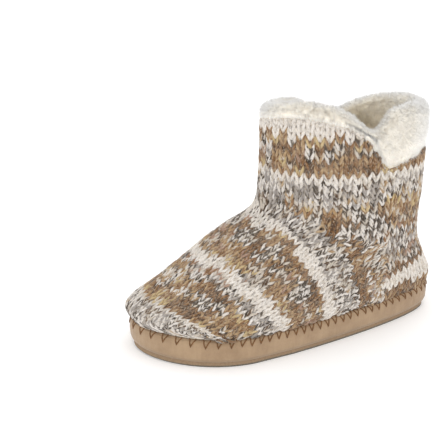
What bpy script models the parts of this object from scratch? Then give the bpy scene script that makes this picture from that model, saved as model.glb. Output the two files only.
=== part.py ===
"""Knitted bootie slipper with a rolled fleece cuff, a left shoe.

Metres, with the floor at Z = 0. The toe points to -Y, and the outer side of the foot is at +X.
Each piece is lofted through flat outlines, which all come from one rounded oval with its own
toe, heel, inner and outer side.
"""

import math
from collections import namedtuple

import bmesh
import bpy
import numpy as np

# Sole
SOLE_LENGTH = 0.254
BALL_WIDTH = 0.105
OUTSOLE_THICKNESS = 0.004
MIDSOLE_THICKNESS = 0.018
INSOLE_THICKNESS = 0.006
OUTSOLE_STEP = 0.0008          # the outsole's edge inside the midsole's bottom edge
SOLE_ROUNDING = 0.0022         # how far the midsole's bottom edge is rounded in
TOE_SPRING = 0.0012
SPRING_LENGTH = 0.045          # from the tip of the toe back to where the sole lies flat
TOE_SHIFT = 0.0115             # the tip of the toe, towards the inner side
TOE_SHIFT_REACH = 0.080        # length of toe that takes the full shift
TOE_SHIFT_POWER = 1.6          # how much of the shift is kept for the tip
ARCH_PLACE = 0.015             # the waist of the sole, behind its middle
ARCH_SPREAD = 0.038
OUTER_WAIST_SHARE = 0.45       # the outer side's share of the inner side's waist
INNER_TAPER_SHARE = 0.5        # the inner side's share of the outer side's taper

# Knitted upper
KNIT_WALL = 0.003
INSTEP_HEIGHT = 0.108
KNIT_HEIGHT = 0.177            # floor to the highest point of the knit's top edge
SHAFT_DEPTH = 0.137            # front to back
SHAFT_WIDTH = 0.092
SHAFT_BACK = 0.051             # middle of the shaft, behind the middle of the sole

# Fleece cuff
FLEECE_RISE = 0.014            # highest point of the roll, above that of the knit
FLEECE_THICKNESS = 0.015
FLEECE_OVERHANG = 0.0010       # past the knit that it rolls over
FLEECE_LUMP = 0.0006           # height of its gentle waves
FLEECE_WAVES = 7               # broad waves round the cuff
FLEECE_TAIL = 0.008            # thickness of its lower end, inside the shaft

CLEARANCE = 0.0003             # between pieces that touch
ROUND = 64                     # points round each outline
LEVEL_RINGS = (0, 0.03, 0.07, 0.12, 0.17, 0.22, 0.28, 0.35, 0.43, 0.52, 0.61, 0.70, 0.79, 0.88)
RISING_RINGS = 8               # from the last level ring to the knit's edge
TAIL_RINGS = 5                 # the top ones, which the cuff's tail lines
ROLL_DEGREES = (35, 65, 90, 115, 145)    # points over the top of the cuff's roll
SHARP_EDGE = math.radians(40)
ANGLES = np.arange(ROUND) * 2 * math.pi / ROUND    # 0 is the toe, a quarter turn the outer side

SOLE_HEIGHT = OUTSOLE_THICKNESS + MIDSOLE_THICKNESS
FLEECE_HEIGHT = KNIT_HEIGHT + FLEECE_RISE

Section = namedtuple("Section", "height toe heel widest inner outer toe_power heel_power taper waist")

# Height is a share of the rise from the sole to the instep. Toe, heel and widest are shares of
# SOLE_LENGTH from its middle, and inner, outer and waist are shares of BALL_WIDTH. Taper is the
# share by which the outer side of the heel is narrower than the ball.
SOLE_SECTION = Section(0.00, -0.500, 0.500, -0.210, 0.494, 0.511, 2.00, 2.80, 0.25, 0.014)

FOOT_SECTIONS = (
    Section(0.00, -0.496, 0.496, -0.210, 0.486, 0.503, 2.00, 2.80, 0.25, 0.014),
    Section(0.10, -0.513, 0.503, -0.195, 0.510, 0.532, 2.00, 2.80, 0.23, 0.020),
    Section(0.28, -0.424, 0.478, -0.140, 0.465, 0.500, 2.05, 2.70, 0.17, 0.022),
    Section(0.47, -0.325, 0.454, -0.040, 0.440, 0.455, 2.10, 2.40, 0.08, 0.019),
    Section(0.65, -0.236, 0.443, 0.098, 0.430, 0.432, 2.05, 2.30, 0.00, 0.0),
    Section(0.84, -0.109, 0.443, 0.165, 0.425, 0.420, 2.00, 2.30, 0.00, 0.0),
)

# Height is a share of the rise from the instep to the top of the knit. Toe, heel and widest are
# shares of SHAFT_DEPTH from the shaft's middle, inner and outer shares of SHAFT_WIDTH.
SHAFT_SECTIONS = (
    Section(0.00, -0.516, 0.458, 0.000, 0.478, 0.477, 2.00, 2.30, 0.0, 0.0),
    Section(0.33, -0.500, 0.460, 0.000, 0.489, 0.492, 2.10, 2.30, 0.0, 0.0),
    Section(0.66, -0.495, 0.472, 0.010, 0.496, 0.492, 2.10, 2.30, 0.0, 0.0),
    Section(1.00, -0.495, 0.474, 0.010, 0.490, 0.492, 2.10, 2.30, 0.0, 0.0),
)

Rim = namedtuple("Rim", "degrees knit fleece thickness inner_drop")

# The top edges from the front of the shaft round to its back, with a notch on each side. Knit is
# a share of KNIT_HEIGHT, fleece and inner drop of FLEECE_HEIGHT, and thickness of
# FLEECE_THICKNESS. The inner side of the foot is lower by the inner drop.
RIM = (
    Rim(0, 0.967, 0.960, 1.00, 0.000),
    Rim(22, 0.988, 0.985, 1.00, 0.045),
    Rim(42, 1.000, 1.000, 1.00, 0.065),
    Rim(60, 0.983, 0.985, 1.00, 0.055),
    Rim(74, 0.952, 0.940, 1.00, 0.030),
    Rim(84, 0.905, 0.885, 1.00, 0.010),
    Rim(90, 0.835, 0.870, 1.05, 0.000),
    Rim(95.6, 0.765, 0.905, 1.10, 0.020),
    Rim(101.2, 0.765, 0.945, 1.15, 0.055),
    Rim(118, 0.790, 0.955, 1.15, 0.055),
    Rim(140, 0.797, 0.935, 1.15, 0.035),
    Rim(180, 0.800, 0.905, 1.15, 0.000),
)

# Height shares of the midsole's side, each with how far it lies inside the sole's outline as a
# share of SOLE_ROUNDING.
MIDSOLE_SIDE = (
    (0.00, 1.00),
    (0.07, 0.55),
    (0.20, 0.18),
    (0.50, 0.00),
    (0.80, 0.10),
    (0.94, 0.45),
    (1.00, 1.10),
)

# The same for the insole's side, as a share of its thickness inside the knit.
INSOLE_SIDE = (
    (0.00, 0.00),
    (0.70, 0.00),
    (0.92, 0.08),
    (1.00, 0.30),
)


def smooth_rows(rows, places):
    """The table's rows at other places in its first column, on a smooth curve with no overshoot."""
    table = np.array(rows, dtype=float)
    known = table[:, 0]
    step = np.diff(known)[:, None]
    slope = np.diff(table, axis=0) / step
    turning = slope[:-1] * slope[1:] <= 0
    total = np.where(turning, 1.0, slope[:-1] + slope[1:])
    tangent = np.empty_like(table)
    tangent[0], tangent[-1] = slope[0], slope[-1]
    tangent[1:-1] = np.where(turning, 0.0, 2 * slope[:-1] * slope[1:] / total)
    places = np.clip(places, known[0], known[-1])
    cell = np.clip(np.searchsorted(known, places, side="right") - 1, 0, len(known) - 2)
    width = step[cell]
    t = ((places - known[cell]) / width[:, 0])[:, None]
    return (table[cell] * (1 + 2 * t) * (1 - t) ** 2 + tangent[cell] * width * t * (1 - t) ** 2
            + table[cell + 1] * t * t * (3 - 2 * t) + tangent[cell + 1] * width * t * t * (t - 1))


def in_metres(section, rise, start, length, width, middle=0.0):
    """A table's section with its shares turned into sizes."""
    return Section(start + section.height * rise,
                   middle + section.toe * length, middle + section.heel * length,
                   middle + section.widest * length,
                   section.inner * width, section.outer * width,
                   section.toe_power, section.heel_power, section.taper, section.waist * width)


def upper_sections():
    """The knit's sections in metres, from the top of the sole to the top of the shaft."""
    foot = [in_metres(s, INSTEP_HEIGHT - SOLE_HEIGHT, SOLE_HEIGHT, SOLE_LENGTH, BALL_WIDTH)
            for s in FOOT_SECTIONS]
    shaft = [in_metres(s, KNIT_HEIGHT - INSTEP_HEIGHT, INSTEP_HEIGHT, SHAFT_DEPTH, SHAFT_WIDTH,
                       SHAFT_BACK) for s in SHAFT_SECTIONS]
    return foot + shaft


def outline(section, angles=ANGLES):
    """X and Y of a section's outline: an oval with its own front, back and sides, its toe moved
    to the inner side and its sides drawn in at the waist."""
    forward = np.cos(angles)
    sideways = np.sin(angles)
    power = np.where(forward >= 0, section.toe_power, section.heel_power)
    along = np.abs(forward) ** (2 / power)
    across = np.abs(sideways) ** (2 / power)
    end = np.where(forward >= 0, section.toe, section.heel)
    y = section.widest + (end - section.widest) * along
    pinch = section.waist * np.exp(-((y - ARCH_PLACE) / ARCH_SPREAD) ** 2)
    to_heel = np.where(forward < 0, along, 0.0)
    taper = section.taper * to_heel * to_heel * (3 - 2 * to_heel)
    outer = (section.outer - OUTER_WAIST_SHARE * pinch) * across * (1 - taper)
    inner = (section.inner - pinch) * across * (1 - INNER_TAPER_SHARE * taper)
    reach = np.clip((section.widest - section.toe) / TOE_SHIFT_REACH, 0, 1)
    shift = TOE_SHIFT * reach * np.where(forward >= 0, along, 0.0) ** TOE_SHIFT_POWER
    x = np.where(sideways >= 0, outer, -inner) - shift
    return np.stack([x, y], axis=1)


def moved_out(points, distance):
    """An outline moved outward by a distance, which may differ from point to point. It runs
    counterclockwise seen from above."""
    tangent = np.roll(points, -1, axis=0) - np.roll(points, 1, axis=0)
    normal = np.stack([tangent[:, 1], -tangent[:, 0]], axis=1)
    normal /= np.linalg.norm(normal, axis=1)[:, None]
    return points + normal * np.reshape(distance, (-1, 1))


def at_height(points, height):
    """An outline's points with a height, or with one height each, as a ring."""
    return np.column_stack([points, np.broadcast_to(height, len(points))])


def toe_lift(y):
    """How far the sole's curve lifts what stands on it, which is nothing behind the toe."""
    start = -SOLE_LENGTH / 2 + SPRING_LENGTH
    return TOE_SPRING * np.clip((start - y) / SPRING_LENGTH, 0, None) ** 2


def rim_heights():
    """Knit edge, fleece top and fleece thickness at each angle."""
    degrees = np.degrees(ANGLES)
    rows = smooth_rows(RIM, np.minimum(degrees, 360 - degrees))
    drop = np.where(degrees > 180, rows[:, 4], 0.0) * FLEECE_HEIGHT
    return (rows[:, 1] * KNIT_HEIGHT - drop, rows[:, 2] * FLEECE_HEIGHT - drop,
            rows[:, 3] * FLEECE_THICKNESS)


def surface_points(heights):
    """The knit's outer surface at one height for each angle."""
    sections = smooth_rows(upper_sections(), heights)
    rows = [outline(Section(*row), ANGLES[i:i + 1])[0] for i, row in enumerate(sections)]
    return np.array(rows)


def make_object(name, rings, material, closed_loop):
    """An object through rings of points. Its rings join last to first, or both ends are capped
    by strips that run from side to side."""
    mesh = bpy.data.meshes.new(name)
    points = np.concatenate(rings)
    points[:, 2] += toe_lift(points[:, 1])
    faces = []
    count = len(rings)
    for r in range(count if closed_loop else count - 1):
        low, high = r * ROUND, (r + 1) % count * ROUND
        for i in range(ROUND):
            j = (i + 1) % ROUND
            faces.append((low + i, low + j, high + j, high + i))
    if not closed_loop:
        for base in (0, (count - 1) * ROUND):
            for i in range(ROUND // 2):
                corners = (i, i + 1, (ROUND - i - 1) % ROUND, (ROUND - i) % ROUND)
                face = tuple(dict.fromkeys(base + corner for corner in corners))
                faces.append(face)
    mesh.from_pydata(points.tolist(), [], faces)
    shape = bmesh.new()
    shape.from_mesh(mesh)
    bmesh.ops.recalc_face_normals(shape, faces=shape.faces)
    bmesh.ops.triangulate(shape, faces=shape.faces)
    shape.to_mesh(mesh)
    shape.free()
    mesh.shade_smooth()
    mesh.set_sharp_from_angle(angle=SHARP_EDGE)
    mesh.materials.append(material)
    piece = bpy.data.objects.new(name, mesh)
    bpy.context.scene.collection.objects.link(piece)
    return piece


def make_material(name, colour, roughness):
    """A Principled material, its colour given as 8-bit screen values."""
    material = bpy.data.materials.new(name)
    material.use_nodes = True
    shader = material.node_tree.nodes["Principled BSDF"]
    linear = [((c / 255 + 0.055) / 1.055) ** 2.4 for c in colour]
    shader.inputs["Base Color"].default_value = (*linear, 1.0)
    shader.inputs["Roughness"].default_value = roughness
    shader.inputs["Metallic"].default_value = 0.0
    return material


def sole_outline():
    return outline(in_metres(SOLE_SECTION, SOLE_HEIGHT, 0.0, SOLE_LENGTH, BALL_WIDTH))


def make_outsole():
    edge = moved_out(sole_outline(), -(SOLE_ROUNDING + OUTSOLE_STEP))
    rings = [at_height(edge, 0.0), at_height(edge, OUTSOLE_THICKNESS)]
    return make_object("outsole", rings, make_material("outsole_rubber", (112, 105, 82), 0.8), False)


def make_midsole():
    base = OUTSOLE_THICKNESS + CLEARANCE
    rise = SOLE_HEIGHT - base
    edge = sole_outline()
    rings = [at_height(moved_out(edge, -SOLE_ROUNDING * inset), base + rise * share)
             for share, inset in MIDSOLE_SIDE]
    return make_object("midsole", rings, make_material("suede", (178, 149, 116), 0.9), False)


def make_insole():
    seat = outline(upper_sections()[0])
    base = SOLE_HEIGHT + CLEARANCE
    rings = [at_height(moved_out(seat, -(KNIT_WALL + CLEARANCE + INSOLE_THICKNESS * inset)),
                       base + INSOLE_THICKNESS * share) for share, inset in INSOLE_SIDE]
    return make_object("insole", rings, make_material("insole_pile", (228, 222, 208), 1.0), False)


def knit_walls():
    """Rings up the knit's outer and inner surface: level rings up to the instep, then rings that
    rise to the edge. The inner ones lie a wall's thickness along the surface's normals."""
    rise = INSTEP_HEIGHT - SOLE_HEIGHT
    base = SOLE_HEIGHT + CLEARANCE
    heights = [np.full(ROUND, base + share * (rise - CLEARANCE)) for share in LEVEL_RINGS]
    level, edge = heights[-1], rim_heights()[0]
    heights += [level + (edge - level) * k / RISING_RINGS for k in range(1, RISING_RINGS + 1)]
    outer = np.array([at_height(surface_points(h), h) for h in heights])
    around = np.roll(outer, -1, axis=1) - np.roll(outer, 1, axis=1)
    normal = np.cross(around, np.gradient(outer, axis=0))
    normal[[0, -1], :, 2] = 0.0
    normal /= np.linalg.norm(normal, axis=2)[:, :, None]
    return outer, outer - normal * KNIT_WALL, normal


def make_upper():
    """A shell of the knit's thickness, open at the collar and underneath."""
    outer, inner, _ = knit_walls()
    rings = list(outer) + list(inner[::-1])
    return make_object("upper", rings, make_material("knit", (190, 165, 135), 0.95), True)


def make_fleece_collar():
    """A thick roll over the knit's edge, with a tail that lines the top of the shaft."""
    edge, top, thickness = rim_heights()
    waves = np.sin(FLEECE_WAVES * ANGLES) + 0.6 * np.sin((2 * FLEECE_WAVES - 1) * ANGLES)
    out = FLEECE_OVERHANG + FLEECE_LUMP * waves
    radius = thickness / 2
    seat = edge + CLEARANCE
    shoulder = top - radius

    inner, normal = knit_walls()[1:]
    lining = (inner - normal * CLEARANCE)[-TAIL_RINGS:]
    lining[-1, :, 2] = seat
    tail_end = lining[0].copy()
    tail_end[:, :2] = moved_out(tail_end[:, :2], -FLEECE_TAIL)

    profile = [(out - radius / 4, seat), (out, seat + (shoulder - seat) / 3), (out, shoulder)]
    for turn in np.radians(ROLL_DEGREES):
        profile.append((out - radius + radius * np.cos(turn), shoulder + radius * np.sin(turn)))
    profile += [(out - thickness, shoulder), (out - thickness, (shoulder + tail_end[:, 2]) / 2)]
    rings = list(lining)
    for offset, height in profile:
        knit = surface_points(np.minimum(height, KNIT_HEIGHT))
        rings.append(at_height(moved_out(knit, offset), height))
    rings.append(tail_end)
    return make_object("fleece_collar", rings, make_material("fleece", (228, 222, 208), 1.0), True)


def stand_on_origin(pieces):
    """Moves the pieces so that the middle of their box's underside is at the origin."""
    corners = np.concatenate([np.array([v.co for v in piece.data.vertices]) for piece in pieces])
    low, high = corners.min(axis=0), corners.max(axis=0)
    slipper = bpy.data.objects.new("slipper", None)
    bpy.context.scene.collection.objects.link(slipper)
    slipper.location = (-(low[0] + high[0]) / 2, -(low[1] + high[1]) / 2, -low[2])
    for piece in pieces:
        piece.parent = slipper


def main():
    for old in list(bpy.data.objects):
        bpy.data.objects.remove(old, do_unlink=True)
    stand_on_origin([make_outsole(), make_midsole(), make_insole(), make_upper(), make_fleece_collar()])


main()
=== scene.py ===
"""Looks of the knitted bootie slipper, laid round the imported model.

Metres. The toe points to -Y, the outer side of the foot is at +X and the floor is at Z = 0.
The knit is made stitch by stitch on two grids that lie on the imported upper: one round the shaft
and down the heel, with upright wales, and one over the foot, with wales that run along it.
"""

import math
from collections import namedtuple

import bmesh
import bpy
import numpy as np
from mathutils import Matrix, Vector, noise
from mathutils.bvhtree import BVHTree


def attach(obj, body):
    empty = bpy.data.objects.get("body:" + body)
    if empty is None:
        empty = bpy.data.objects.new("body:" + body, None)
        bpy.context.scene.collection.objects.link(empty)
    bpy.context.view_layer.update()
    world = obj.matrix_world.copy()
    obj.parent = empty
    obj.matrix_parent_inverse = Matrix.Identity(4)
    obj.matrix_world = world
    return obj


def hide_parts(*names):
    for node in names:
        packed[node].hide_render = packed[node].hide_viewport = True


MM = 0.001
REACH = 0.4  # from inside the slipper to well outside it

# Camera, found by laying the model's outline over the photograph's
CAMERA_AZIMUTH = math.radians(64.88)
CAMERA_ELEVATION = math.radians(21.06)
CAMERA_DISTANCE = 0.96847
CAMERA_TARGET = (-0.0267, -0.0452, 0.0878)
CAMERA_SENSOR = 36.0
CAMERA_LENS = 101.7

# Stage and lights
FLOOR_HALF_SIZE = 20.0
FLOOR_GLOW = 0.12
WORLD_STRENGTH = 1.08
LIGHT_TARGET = (0.0, 0.0, 0.08)
LIGHTS = (
    # name, place, size, power
    ("key", (0.9, -1.1, 1.5), 2.0, 4.8),
    ("fill", (1.6, 0.9, 0.9), 1.4, 2.4),
    ("back", (-0.8, 0.9, 1.4), 1.2, 3.0),
)

# Sole
SOLE_EDGE = 22.3 * MM
SOLE_CORE = 85.0 * MM  # half the length of the sole's middle line
TOE_LIFT = 1.0 * MM  # how far the sole's top edge rises at the toe
TOE_LIFT_START = 90.0 * MM  # in front of the sole's middle
TOE_LIFT_LENGTH = 33.0 * MM

# Blanket stitch
STITCH_PITCH = 7.6 * MM  # along the sides
STITCH_PITCH_TOE = 11.2 * MM
STITCH_PITCH_FROM = (-100.0 * MM, -60.0 * MM)  # y where one ends and the other starts
STITCH_WIDTHS = (4.5 * MM, 1.25 * MM)  # the least, and the random rest
STITCH_LEAN = 0.8 * MM  # spread to both sides
STITCH_LOW = 16.9 * MM  # the middle of its lowest point's spread
STITCH_LOW_SPREAD = 0.9 * MM
STITCH_LEVEL = 17.9 * MM  # where the length round the sole is measured
STITCH_CURVE = 0.85  # under 1 the legs bulge a little
STITCH_MARGIN = 0.6 * MM  # past the sole's edge at its ends, short of it on the side
STITCH_STEPS = 6
THREAD_RADIUS = 0.5 * MM
THREAD_PROUD = 0.35  # how far the thread stands out, as a share of its radius
THREAD_SIDES = 6

# Knit
WALE_PITCH = 7.6 * MM
COURSE_PITCH = 5.4 * MM
YARN_RADIUS = 1.45 * MM
YARN_NECK = 0.80  # the radius at a stitch's head and foot, as a share
YARN_DEPTH = 1.75 * MM  # of the yarn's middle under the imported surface
LEG_RISE = 0.62 * MM  # how far a stitch's legs stand in front of its head
LEG_FLATNESS = 1.8  # how long a leg keeps in front between its two ends
LOOP_HALF_HEIGHT = 0.98  # shares of a course
LOOP_SWING = 0.245  # shares of a wale
YARN_STEPS = 16
YARN_SIDES = 8
YARN_PER_STITCH = 21.0 * MM
YARN_SLIP = 1.7 * MM  # how much later the twist starts with each course
PLY_TWIST = 8.0 * MM
KNIT_EDGE = 0.4  # the yarn's lowest middle above the sole's edge, in its radius
TUCK = 4.0 * MM  # how much of what hangs below that turns in under the others
TUCK_IN = 1.9  # how far it goes in, for what hung below
TUCK_DOWN = 0.9  # how far down it stays, for the same

# How uneven the stitches are: the whole spread of each measure
HEIGHT_SPREAD = 0.05
SWING_SPREAD = 0.2
DEPTH_SPREAD = 0.25 * MM
RADIUS_SPREAD = 0.10

# How uneven the choice of yarn is
STRIPE_SPREAD = 2.4 * MM  # by which a stripe starts early or late
PATCH_SHARES = (0.75, 0.5)  # the least share of a patch's half width, and the random rest
BLOTCH_SHARE = 0.4  # the blotches' part in the choice
CHOICE_CONTRAST = 1.6
LIGHT_SPREAD = 0.14

# Shaft and heel grid
SHAFT_AXIS = (-1.2 * MM, 52.1 * MM)
SHAFT_CORE = 20.0 * MM  # what lies nearer to the axis is no wall
SHAFT_WALES = 48
SHAFT_GIRTH_HEIGHT = 118 * MM  # under both notches
KNIT_TOP = 200.0 * MM  # above all of the knit
RIM_HALVINGS = 12
RIM_MARGIN = 1.0 * MM  # below the rim, where the wall is surely met
SOLE_MARGIN = 2.0 * MM  # above the sole's edge, for the same
BAND_HEIGHT = 133.0 * MM  # the bottom of the wide brown band, on a course
ROWS_BELOW_BAND = 21
ROWS_ABOVE_BAND = 9
SHAFT_PAST_SEAM = 1.5 * MM
SHAFT_PAST_RIM = 2.5 * MM

# Foot grid
FOOT_LENGTH = 203.0  # millimetres from the toe to the last course at the heel seam
FOOT_TURN = 134.0  # up to here a course crosses the instep
FOOT_SPREAD = 0.25  # how much a course grows with each millimetre past the turn
FOOT_WALES = 21
FOOT_GAUGE = 0.82  # the foot's stitches, beside the shaft's
FOOT_PAST_SEAM = 2.0 * MM
FOOT_PAST_SOLE = 1.0  # wales that may start past the sole's edge
FOOT_LOWEST = 0.4 * MM  # a stitch's middle, above the sole's edge
FIRST_COURSE_WALES = 12  # the foot's first course ends where the sole's edge turns
COURSE_DEGREES = 112  # how far a course is followed round, from the instep
COURSE_ROUNDING = 0.03  # how softly it turns back beside the instep
LONGEST_COURSE = 1.3  # past the turn, in pitches

# Fleece
CUFF_CELL = 1.6 * MM  # of the evened-out cuff
CUFF_SINK = 1.9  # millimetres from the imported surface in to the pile's roots
CUFF_LUMPS = ((62, 1.0), (300, 0.5))  # how fine, height in millimetres
CUFF_MOVES_FROM = 145.0 * MM  # height where the cuff's moves start
CUFF_MOVES_OVER = 20.0 * MM
# Painted shade inside the collar, deepest low down and well inside
COLLAR_HALF = (46.0 * MM, 65.5 * MM)
DEEP_FROM = 0.86  # where the painted shade inside the collar starts, in half widths
DEEP_OVER = 0.22
DEEP_TOP = 178.0 * MM
DEEP_HEIGHT = 35.0 * MM
MOST_PAINTED_SHADE = 0.75
# Painted light: a glow on the collar's outside where it faces down into the shade under the roll
UNDER_TILT = 0.25
UNDER_FADE = 3  # how fast the painted glow on the underside ends towards the inside
SWIRL_FINENESS = 110
SWIRL_OFFSETS = (Vector((0, 0, 0)), Vector((7, 3, 1)), Vector((2, 9, 4)))
SWIRL_SHARE = 1.6
SCATTER_SHARE = 0.5
TUFT_SHARES = (0.5, 0.9)  # the least share of a tuft's length, and the random rest
RIM_PILE_REACH = 4.6 * MM
RIM_POINTS = 144

Pile = namedtuple("Pile", "count length width lean droop deep seed")

# Lean scatters the tufts, droop turns them down, and deep is their share in the painted shade
# inside the collar.
CUFF_PILE = Pile(62000, 2.2 * MM, 0.5 * MM, 0.16, 0.0, 1.0, 31)
EDGE_PILE = Pile(12000, 3.8 * MM, 0.6 * MM, 0.60, 0.9, 1.0, 37)
LINING_PILE = Pile(16000, 3.2 * MM, 1.1 * MM, 0.55, 0.0, 0.25, 33)
INSOLE_PILE = Pile(12000, 2.6 * MM, 1.0 * MM, 0.55, 0.0, 0.15, 35)

# Lining and ground
OUTER_SINK = 2.3 * MM  # the shell's outer wall, drawn in under the stitches, where it is a dark sheet of painted shade
INNER_RISE = 1.8 * MM  # the lining on its inner wall
CORE_TOP = 100.0 * MM  # above this the inside is where the shaft's axis is
CORE_ENDS = (-95.0 * MM, 85.0 * MM)  # below this, a line along the foot
CORE_HEIGHT = 40.0 * MM
LINING_LOW = 30.0 * MM
# Painted shade, even over the lining and the insole inside the slipper
LINING_PAINTED_SHADE = 0.15
INSOLE_PAINTED_SHADE = 0.1


def srgb(red, green, blue):
    """Linear colour from 8-bit screen values."""
    return tuple(((c / 255 + 0.055) / 1.055) ** 2.4 for c in (red, green, blue))


SNOW = srgb(234, 228, 221)
WHITE = srgb(226, 220, 214)
CREAM = srgb(204, 195, 184)
GREY = srgb(160, 154, 150)
BLACK = srgb(52, 45, 41)
BROWN = srgb(130, 94, 60)
DARK = srgb(82, 59, 42)
TAN = srgb(168, 138, 101)
YELLOW = srgb(194, 170, 124)
ROSE = srgb(164, 132, 114)

# Each yarn is two plies and the second one's share. Each stripe picks its stitches' yarns by the
# weight that comes last.
STRIPES = {
    "snow": ((SNOW, CREAM, 0.25, 0.85), (SNOW, GREY, 0.25, 0.15)),
    "white": ((WHITE, CREAM, 0.55, 0.70), (WHITE, GREY, 0.42, 0.30)),
    "grey": ((WHITE, BLACK, 0.42, 0.40), (WHITE, GREY, 0.50, 0.14), (GREY, BLACK, 0.34, 0.12),
             (CREAM, TAN, 0.44, 0.10), (CREAM, DARK, 0.46, 0.18), (GREY, WHITE, 0.40, 0.06)),
    "pale": ((WHITE, TAN, 0.45, 0.14), (CREAM, BLACK, 0.34, 0.14), (WHITE, BLACK, 0.40, 0.18),
             (TAN, CREAM, 0.40, 0.12), (GREY, ROSE, 0.45, 0.10), (BROWN, CREAM, 0.46, 0.18),
             (TAN, DARK, 0.40, 0.14)),
    "brown": ((BROWN, TAN, 0.46, 0.20), (BROWN, DARK, 0.46, 0.24), (TAN, CREAM, 0.36, 0.10),
              (ROSE, BROWN, 0.46, 0.12), (WHITE, BLACK, 0.46, 0.09), (TAN, DARK, 0.42, 0.13),
              (CREAM, DARK, 0.48, 0.12)),
    "amber": ((YELLOW, BROWN, 0.36, 0.20), (TAN, BROWN, 0.46, 0.32), (YELLOW, CREAM, 0.45, 0.10),
              (BROWN, TAN, 0.40, 0.24), (CREAM, DARK, 0.44, 0.14)),
    "umber": ((BROWN, DARK, 0.46, 0.44), (BROWN, TAN, 0.42, 0.36), (DARK, BROWN, 0.50, 0.20)),
    "dusk": ((WHITE, BLACK, 0.48, 0.26), (GREY, DARK, 0.40, 0.22), (ROSE, DARK, 0.36, 0.20),
             (CREAM, BROWN, 0.46, 0.20), (TAN, GREY, 0.44, 0.12)),
    "flecked": ((WHITE, BLACK, 0.54, 0.80), (CREAM, BLACK, 0.46, 0.20)),
    "rosy": ((ROSE, CREAM, 0.45, 0.34), (GREY, WHITE, 0.45, 0.20), (WHITE, BLACK, 0.36, 0.22),
             (BROWN, ROSE, 0.45, 0.24)),
}

# Places where the yarn changes inside a stripe: two ends and the half width in millimetres, and
# the yarn's stripe. The inner side repeats them a little further back.
PATCHES = (
    ((-9, -112, 43), (15, -101, 45), 5, "amber"),
    ((15, -101, 45), (37, -87, 40), 6, "umber"),
    ((37, -87, 40), (49, -72, 24), 6, "umber"),
    ((2, -92, 54), (-14, -88, 58), 6, "amber"),
    ((-5, -90, 56), (6, -86, 57), 3, "brown"),
    ((17, -80, 57), (37, -72, 49), 6, "umber"),
    ((28, -86, 48), (42, -74, 44), 6, "flecked"),
    ((42, -82, 39), (50, -72, 28), 6, "brown"),
    ((44, -69, 44), (53, -60, 31), 5, "amber"),
    ((-21, -82, 61), (24, -67, 61), 5, "rosy"),
    ((-24, -52, 80), (-17, -36, 88), 7, "rosy"),
    ((1, -43, 84), (7, -26, 91), 4, "flecked"),
    ((26, -38, 75), (28, -23, 81), 4, "flecked"),
    ((50, -19, 46), (47, -4, 55), 5, "flecked"),
    ((51, -20, 42), (51, -18, 25), 4, "umber"),
    ((10, -27, 89), (26, -17, 86), 4, "amber"),
    ((28, -48, 69), (48, -33, 54), 5, "amber"),
    ((27, -16, 86), (50, 1, 42), 4, "umber"),
    ((40, 22, 91), (42, 49, 62), 8, "brown"),
    ((43, 41, 60), (43, 48, 29), 4, "umber"),
    ((41, 53, 61), (40, 61, 26), 6, "pale"),
    ((-15, -15, 152), (-9, -16, 138), 9, "rosy"),
    ((6, -12, 156), (6, -12, 142), 3, "flecked"),
    ((24, 2, 162), (24, 2, 146), 3, "flecked"),
    ((32, 13, 160), (33, 14, 148), 3, "flecked"),
    ((41, 34, 160), (41, 34, 143), 3, "flecked"),
    ((24, 2, 160), (34, 18, 160), 3, "amber"),
    ((6, -12, 142), (21, -2, 136), 4, "amber"),
    ((-13, -16, 136), (19, -4, 135), 3, "amber"),
    ((24, 2, 136), (44, 52, 135), 3, "umber"),
    ((10, -10, 158), (14, -7, 150), 4, "umber"),
    ((38, 26, 156), (39, 28, 146), 4, "umber"),
    ((36, 84, 139), (24, 103, 148), 6, "umber"),
    ((40, 33, 105), (42, 62, 88), 5, "flecked"),
    ((42, 63, 110), (36, 84, 104), 5, "amber"),
    ((34, 102, 36), (20, 123, 36), 5, "snow"),
    ((20, 123, 36), (-10, 128, 36), 5, "snow"),
)
MIRROR_FROM = -8.0 * MM
MIRROR_SHIFT = 9.0 * MM

# Where the cuff's roll stands or dips: centre, width and rise in millimetres.
CUFF_MOVES = (
    ((-41, 60, 168), 22, -7.0),
    ((-8, 109, 172), 28, 5.0),
    ((20, 14, 190), 12, -2.0),
)

# Heights in millimetres where each stripe of the shaft starts, from the sole up.
SHAFT_STRIPES = (
    (0, "umber"), (36, "snow"), (48, "umber"), (52, "dusk"), (66, "grey"), (74, "dusk"),
    (83, "brown"), (103, "amber"), (108, "grey"), (126.5, "snow"), (133, "amber"),
    (139, "umber"), (144, "brown"), (157, "amber"), (162, "snow"),
)

# Millimetres along the instep from the toe where each stripe of the foot starts.
FOOT_STRIPES = (
    (0, "grey"), (23, "white"), (27, "amber"), (33, "umber"), (38, "pale"), (52, "grey"),
    (71, "snow"), (81, "pale"), (84, "amber"), (90, "brown"), (112, "umber"), (118, "amber"),
    (121, "snow"), (133, "grey"), (162, "umber"), (168, "brown"), (176, "pale"),
)

# A course over the foot lies on a fold of two planes. Along is millimetres from the toe; x, y
# and z its middle inside the foot; tilt the degrees that it leans; sweep how it trails backward.
FOOT_COURSES = (
    (0, -12.5, -77.8, 14.3, 80, 0.20),
    (26, -9, -79.6, 12.9, 50, 0.20),
    (38, -7, -74.5, 14, 38, 0.18),
    (71, -4, -40.9, 20, 36, 0.18),
    (85, -3, -30.8, 22, 31, 0.24),
    (121, -3, -13.5, 28, 15, 0.46),
    (134, -3, 1, 30, 17, 0.40),
    (159, -3, 26, 31, 12, 0.28),
    (190, -3, 56, 31, -3, 0.10),
    (205, -3, 71, 31, -6, 0.06),
)

# The seam between shaft and foot: its place along the foot at each height, in millimetres.
SEAM = (
    (20, 57), (33, 60), (42, 66), (50, 71), (57, 70), (74, 63), (80, 50), (86, 37), (90, 23),
    (93, 16), (95.5, 7.4), (100.5, -1.5), (105, -9), (106.3, -18.7), (107, -40),
)

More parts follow.
